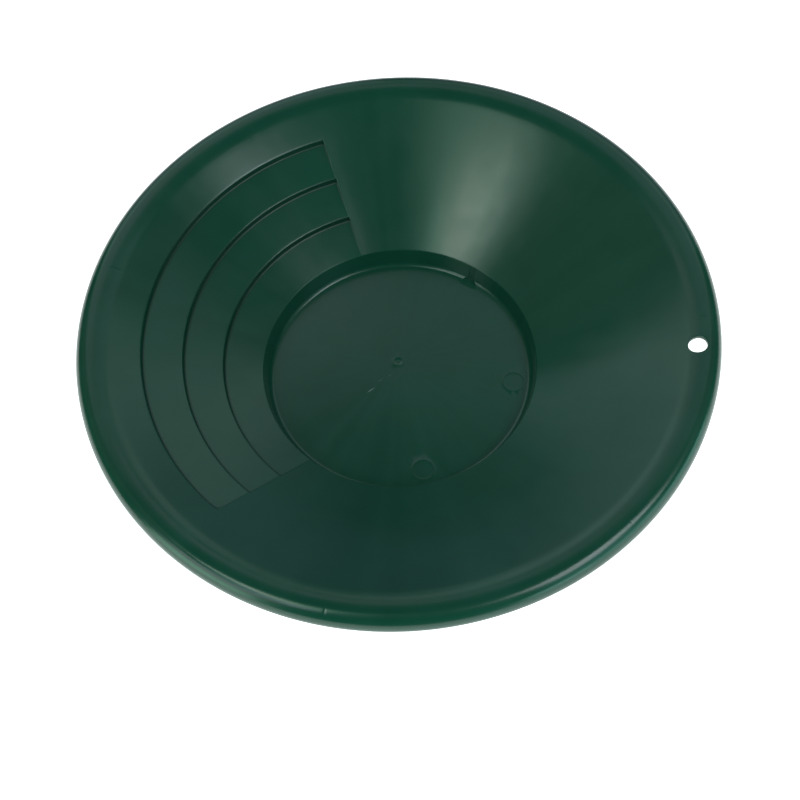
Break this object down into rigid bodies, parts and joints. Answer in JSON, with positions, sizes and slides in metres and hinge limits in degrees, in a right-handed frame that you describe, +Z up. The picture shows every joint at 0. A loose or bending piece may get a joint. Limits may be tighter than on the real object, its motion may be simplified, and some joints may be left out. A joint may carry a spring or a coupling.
{
  "type": "gold pan",
  "caption": "Round gold pan: one thin moulding with a flat floor, a drop step, a sloping wall with a stepped riffle panel, a rolled rim and a hanging hole.",
  "frame": {"origin": "middle of the flat base, on the pan's axis, at the height it stands on", "axes": "+Z up along the pan's axis and out of its open side; +X towards the side of the rim with the hanging hole, which is 12.2 degrees below +X as seen from above; the riffle panel is centred 164.4 degrees from +X towards +Y"},
  "size_m": [0.355, 0.355, 0.064],
  "materials": {
    "pan_plastic": "semi-gloss dark green moulded plastic"
  },
  "bodies": {
    "root": {"pan": "pan_plastic"}
  },
  "joints": []
}
